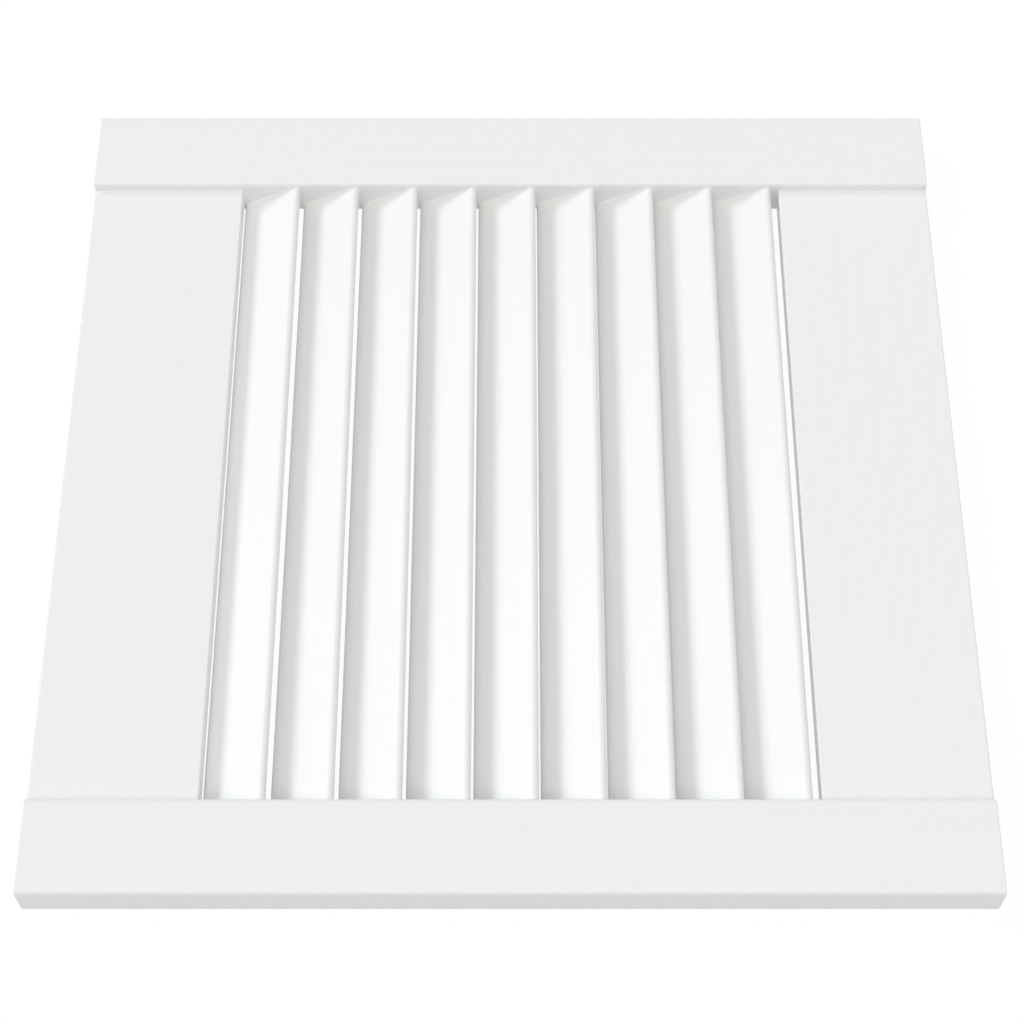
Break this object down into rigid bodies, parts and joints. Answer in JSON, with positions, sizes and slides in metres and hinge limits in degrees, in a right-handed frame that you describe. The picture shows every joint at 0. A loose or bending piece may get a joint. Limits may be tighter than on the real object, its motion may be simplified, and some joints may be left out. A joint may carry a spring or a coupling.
{
  "type": "louvred panel",
  "caption": "Flat louvred ventilation panel: wooden stiles and rails frame a bank of fixed slanted slats with rounded edges, painted white.",
  "frame": {"origin": "centre of the panel's back face, on the plane that the stiles rest on", "axes": "+X along the stiles from the top end to the bottom end, +Y across from the left stile to the right stile, +Z out of the front face"},
  "size_m": [0.395, 0.394, 0.019],
  "materials": {
    "painted_frame": "smooth satin white paint on softwood",
    "painted_slats": "smooth satin white paint on softwood slats",
    "beech_dowel": "bare fluted beech"
  },
  "bodies": {
    "root": {"left_stile": "painted_frame", "right_stile": "painted_frame", "top_rail": "painted_frame", "bottom_rail": "painted_frame", "slat_1": "painted_slats", "slat_2": "painted_slats", "slat_3": "painted_slats", "slat_4": "painted_slats", "slat_5": "painted_slats", "slat_6": "painted_slats", "slat_7": "painted_slats", "slat_8": "painted_slats", "slat_9": "painted_slats", "dowel_top_left_outer": "beech_dowel", "dowel_top_left_inner": "beech_dowel", "dowel_top_right_outer": "beech_dowel", "dowel_top_right_inner": "beech_dowel", "dowel_bottom_left_outer": "beech_dowel", "dowel_bottom_left_inner": "beech_dowel", "dowel_bottom_right_outer": "beech_dowel", "dowel_bottom_right_inner": "beech_dowel"}
  },
  "joints": []
}
